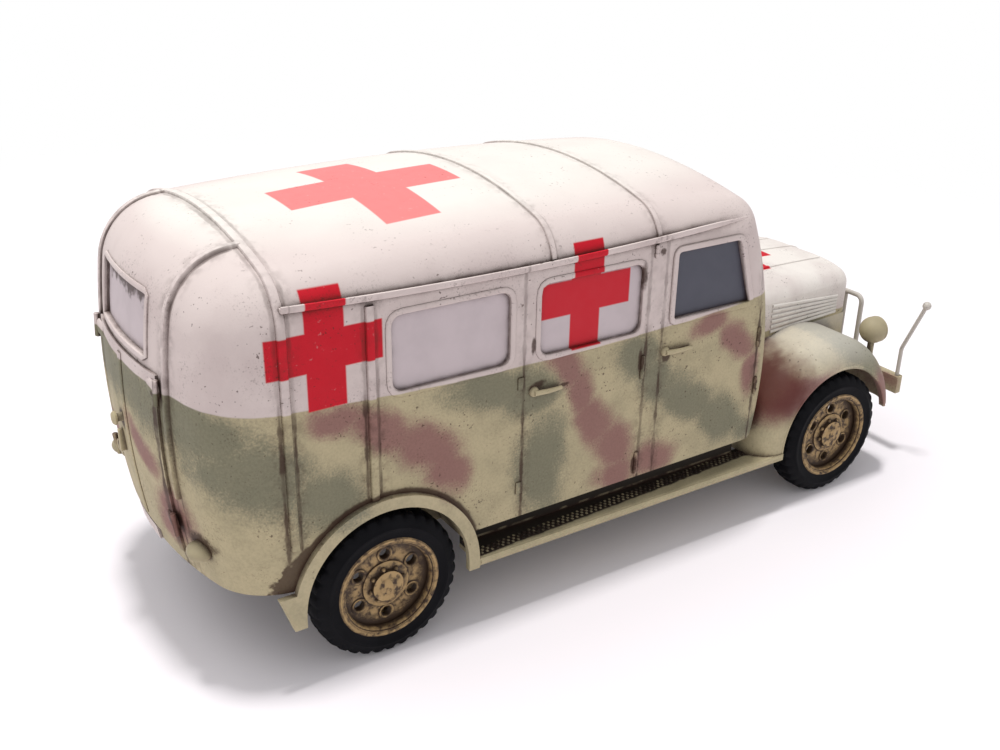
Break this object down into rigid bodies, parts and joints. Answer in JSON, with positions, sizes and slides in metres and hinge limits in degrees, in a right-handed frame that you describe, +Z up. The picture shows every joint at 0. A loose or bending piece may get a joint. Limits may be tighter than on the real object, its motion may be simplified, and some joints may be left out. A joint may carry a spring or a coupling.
{
  "type": "scale model of a military ambulance truck",
  "caption": "Painted 1:72 scale model of a bonneted military ambulance van with red crosses, camouflaged lower body and wheels that roll.",
  "frame": {"origin": "middle of the bounding box, on the surface that the tyres stand on", "axes": "+X towards the bonnet, +Y to the vehicle's left, +Z up"},
  "size_m": [0.0744, 0.0284, 0.0333],
  "materials": {
    "camouflage_paint": "matt hand-painted sand with soft green and red-brown patches",
    "white_paint": "matt warm white with specks and brown wash in the seams",
    "chassis_paint": "matt dark earth brown",
    "window_panes": "painted panes, pale and dark grey",
    "lens": "sand-painted lens",
    "lamp_paint": "dark painted lamp",
    "tyre_paint": "matt blue-black",
    "rim_paint": "sand with dark brown wash"
  },
  "bodies": {
    "root": {"roof_rear_panel": "white_paint", "roof_middle_panel": "white_paint", "cab_roof": "white_paint", "floor_pan": "chassis_paint", "cab_front": "camouflage_paint", "tail_panel": "camouflage_paint", "tail_window_glass": "window_panes", "tail_door_left": "camouflage_paint", "tail_door_right": "camouflage_paint", "side_panels": "camouflage_paint", "side_doors": "camouflage_paint", "cab_doors": "camouflage_paint", "door_pillars": "camouflage_paint", "rear_corners": "camouflage_paint", "windscreen_glass": "window_panes", "side_window_glass": "window_panes", "side_door_glass": "window_panes", "cab_door_glass": "window_panes", "rear_mudguards": "camouflage_paint", "running_boards": "camouflage_paint", "bonnet_left": "camouflage_paint", "bonnet_right": "camouflage_paint", "bonnet_sides": "camouflage_paint", "radiator_shell": "camouflage_paint", "radiator_grille": "chassis_paint", "front_fenders": "camouflage_paint", "front_bumper": "camouflage_paint", "radiator_guard": "white_paint", "headlamps": "camouflage_paint", "headlamp_lenses": "lens", "width_rods": "white_paint", "chassis_frame": "chassis_paint", "gearbox": "chassis_paint", "engine": "chassis_paint", "propeller_shaft": "chassis_paint", "rear_axle": "chassis_paint", "steering_knuckles": "chassis_paint", "front_axle": "chassis_paint", "front_springs": "chassis_paint", "rear_springs": "chassis_paint", "exhaust": "chassis_paint", "fuel_tank": "chassis_paint", "roof_gutters": "camouflage_paint", "door_handles": "camouflage_paint", "tail_door_handle": "camouflage_paint", "tail_lamps": "lamp_paint", "number_plate": "white_paint"},
    "wheel_front_left": {"tyre_front_left": "tyre_paint", "rim_front_left": "rim_paint"},
    "wheel_front_right": {"tyre_front_right": "tyre_paint", "rim_front_right": "rim_paint"},
    "wheel_rear_left": {"tyre_rear_left": "tyre_paint", "rim_rear_left": "rim_paint"},
    "wheel_rear_right": {"tyre_rear_right": "tyre_paint", "rim_rear_right": "rim_paint"}
  },
  "joints": [
    {"name": "roll_front_left", "type": "hinge", "parent": "root", "child": "wheel_front_left", "pos_m": [0.0249, 0.01245, 0.006], "axis": [0, 1, 0], "continuous": true},
    {"name": "roll_front_right", "type": "hinge", "parent": "root", "child": "wheel_front_right", "pos_m": [0.0249, -0.01245, 0.006], "axis": [0, 1, 0], "continuous": true},
    {"name": "roll_rear_left", "type": "hinge", "parent": "root", "child": "wheel_rear_left", "pos_m": [-0.0226, 0.01245, 0.006], "axis": [0, 1, 0], "continuous": true},
    {"name": "roll_rear_right", "type": "hinge", "parent": "root", "child": "wheel_rear_right", "pos_m": [-0.0226, -0.01245, 0.006], "axis": [0, 1, 0], "continuous": true}
  ]
}
